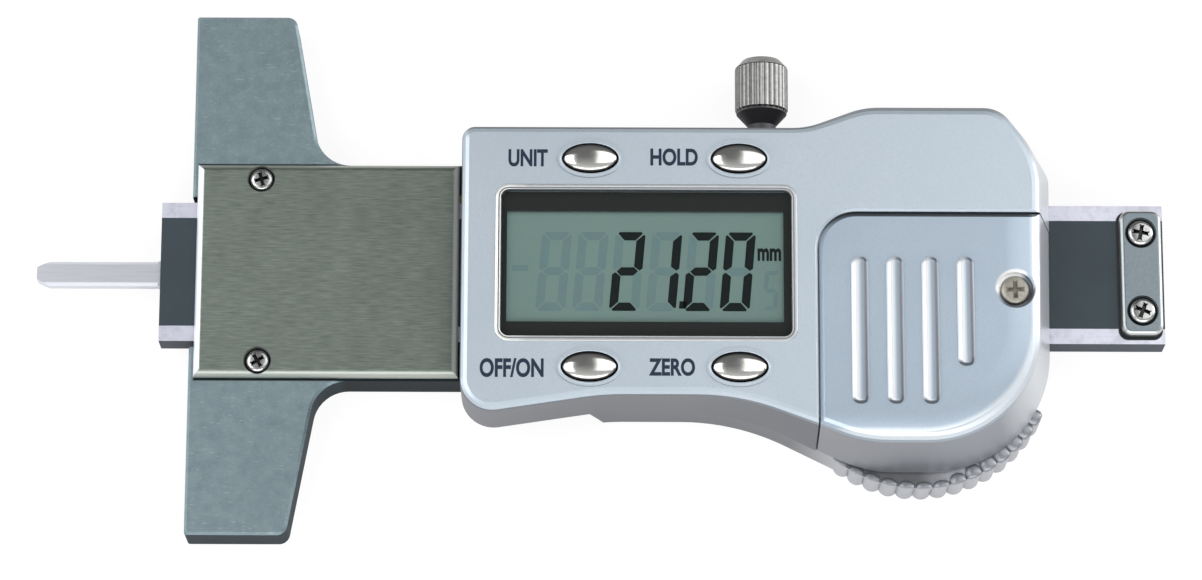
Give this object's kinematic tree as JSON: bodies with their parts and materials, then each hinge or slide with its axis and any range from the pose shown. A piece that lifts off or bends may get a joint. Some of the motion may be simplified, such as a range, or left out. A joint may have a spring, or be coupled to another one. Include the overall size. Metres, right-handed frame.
{
  "type": "digital depth gauge",
  "caption": "Digital depth gauge: T-shaped measuring base, sliding beam with a flat pin, lock screw and an electronic reader with display and keys.",
  "frame": {"origin": "the point of the measuring face where the depth pin's axis passes through it", "axes": "+X back along the beam, away from the pin's tip; +Y towards the lock screw; +Z out of the display"},
  "size_m": [0.1261, 0.06, 0.0147],
  "materials": {
    "ground_steel": "ground, satin",
    "brushed_plate": "brushed along X",
    "beam_steel": "ground, bright",
    "pin_steel": "ground",
    "stop_steel": "satin, bevelled",
    "screw_steel": "bright",
    "knob_steel": "straight knurl",
    "scale_laminate": "smooth, dark slate",
    "silver_shell": "satin silver paint on ABS",
    "silver_cover": "satin silver paint on ABS",
    "silver_back": "satin silver paint on ABS",
    "key_chrome": "chrome plate on ABS",
    "window": "clear acrylic, black printed border",
    "display_glass": "liquid crystal display, grey-green",
    "board_laminate": "green solder mask",
    "black_epoxy": "bonded chip cover",
    "component": "ceramic and tinned can",
    "silicone": "translucent grey",
    "cell_can": "nickel plated",
    "contact_leaf": "nickel plated leaf",
    "brass": "plain",
    "back_label": "fine matt, blank"
  },
  "bodies": {
    "frame": {"base_frame": "ground_steel", "cover_plate": "brushed_plate", "cover_plate_screws": "screw_steel", "gib_strip": "brass", "gib_screws": "screw_steel", "back_plate": "back_label", "housing_front": "silver_shell", "housing_back": "silver_back", "window_lens": "window", "lcd_panel": "display_glass", "zebra_strips": "silicone", "circuit_board": "board_laminate", "board_screws": "screw_steel", "chip_glob": "black_epoxy", "board_components": "component", "battery": "cell_can", "battery_negative_contact": "contact_leaf", "battery_positive_contact": "contact_leaf", "frame_screws": "screw_steel", "shell_screws": "screw_steel", "unit_key_dome": "silicone", "hold_key_dome": "silicone", "off_on_key_dome": "silicone", "zero_key_dome": "silicone"},
    "beam": {"beam": "beam_steel", "scale_strip": "scale_laminate", "depth_pin": "pin_steel", "stop_plate": "stop_steel", "stop_screws": "screw_steel"},
    "lock_shoe": {"lock_shoe": "brass"},
    "lock_screw": {"lock_screw": "knob_steel"},
    "unit_button": {"unit_button": "key_chrome"},
    "hold_button": {"hold_button": "key_chrome"},
    "off_on_button": {"off_on_button": "key_chrome"},
    "zero_button": {"zero_button": "key_chrome"},
    "battery_cover": {"battery_cover": "silver_cover", "battery_cover_screw": "screw_steel"}
  },
  "joints": [
    {"name": "depth_slide", "type": "slide", "parent": "frame", "child": "beam", "axis": [-1, 0, 0], "range_m": [-0.0173, 0.0077]},
    {"name": "lock_advance", "type": "slide", "parent": "frame", "child": "lock_shoe", "axis": [0, -1, 0], "range_m": [-0.0005, 0.00025]},
    {"name": "lock_turn", "type": "hinge", "parent": "lock_shoe", "child": "lock_screw", "pos_m": [0.064, 0, 0], "axis": [0, -1, 0], "range_deg": [-360, 180]},
    {"name": "unit_press", "type": "slide", "parent": "frame", "child": "unit_button", "axis": [0, 0, -1], "range_m": [0, 0.0004], "stiffness_N_per_m": 1500, "springref_m": -0.0001, "deforming": ["unit_key_dome"]},
    {"name": "hold_press", "type": "slide", "parent": "frame", "child": "hold_button", "axis": [0, 0, -1], "range_m": [0, 0.0004], "stiffness_N_per_m": 1500, "springref_m": -0.0001, "deforming": ["hold_key_dome"]},
    {"name": "off_on_press", "type": "slide", "parent": "frame", "child": "off_on_button", "axis": [0, 0, -1], "range_m": [0, 0.0004], "stiffness_N_per_m": 1500, "springref_m": -0.0001, "deforming": ["off_on_key_dome"]},
    {"name": "zero_press", "type": "slide", "parent": "frame", "child": "zero_button", "axis": [0, 0, -1], "range_m": [0, 0.0004], "stiffness_N_per_m": 1500, "springref_m": -0.0001, "deforming": ["zero_key_dome"]},
    {"name": "battery_cover_lift", "type": "slide", "parent": "frame", "child": "battery_cover", "axis": [0, 0, 1], "range_m": [0, 0.012]}
  ],
  "couplings": [
    {"joint": "lock_turn", "follows": "lock_advance", "rad_per_m": 12566}
  ]
}
